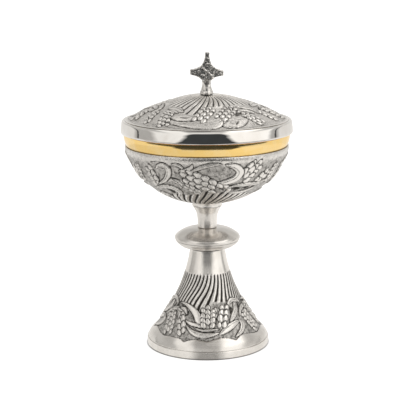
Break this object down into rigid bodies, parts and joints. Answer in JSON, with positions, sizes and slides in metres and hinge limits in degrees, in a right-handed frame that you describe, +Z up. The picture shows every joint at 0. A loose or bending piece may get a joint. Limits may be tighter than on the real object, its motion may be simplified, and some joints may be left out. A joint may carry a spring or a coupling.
{
  "type": "ciborium vessel",
  "caption": "Lidded silver cup on a flared foot with a lens knop, chased wheat and leaf relief, gilt liner and lip, and a lift-off domed lid with a cross finial.",
  "frame": {"origin": "centre of the circle on which the foot stands", "axes": "+Z up along the vessel's axis, -Y towards the front face of the cross, +X along the cross's right arm seen from the front"},
  "size_m": [0.1268, 0.1268, 0.2191],
  "materials": {
    "aged_silver": "chased silver plate, bright on the high points, dark patina in the recesses",
    "satin_silver": "turned silver plate, satin with fine turning lines",
    "polished_silver": "mirror-polished silver plate",
    "gilt": "polished gold plate",
    "cast_silver": "cast silver plate, hammered and darkened",
    "fastener_brass": "turned brass"
  },
  "bodies": {
    "vessel": {"foot_base_ring": "satin_silver", "foot_shell": "aged_silver", "tie_washer": "fastener_brass", "tie_nut": "fastener_brass", "tie_rod": "fastener_brass", "knop_collar": "satin_silver", "knop_lower": "satin_silver", "knop_upper": "satin_silver", "stem": "satin_silver", "cup_collar": "satin_silver", "cup_shell": "aged_silver", "cup_boss": "fastener_brass", "cup_liner": "gilt"},
    "lid": {"lid_rim_band": "polished_silver", "lid_dome": "aged_silver", "lid_pan": "gilt", "lid_locating_ring": "gilt", "finial_neck": "cast_silver", "finial_cross": "cast_silver", "finial_washer": "gilt", "finial_nut": "gilt", "finial_stud": "fastener_brass"}
  },
  "joints": [
    {"name": "lid_lift", "type": "slide", "parent": "vessel", "child": "lid", "axis": [0, 0, 1], "range_m": [0, 0.06]}
  ]
}
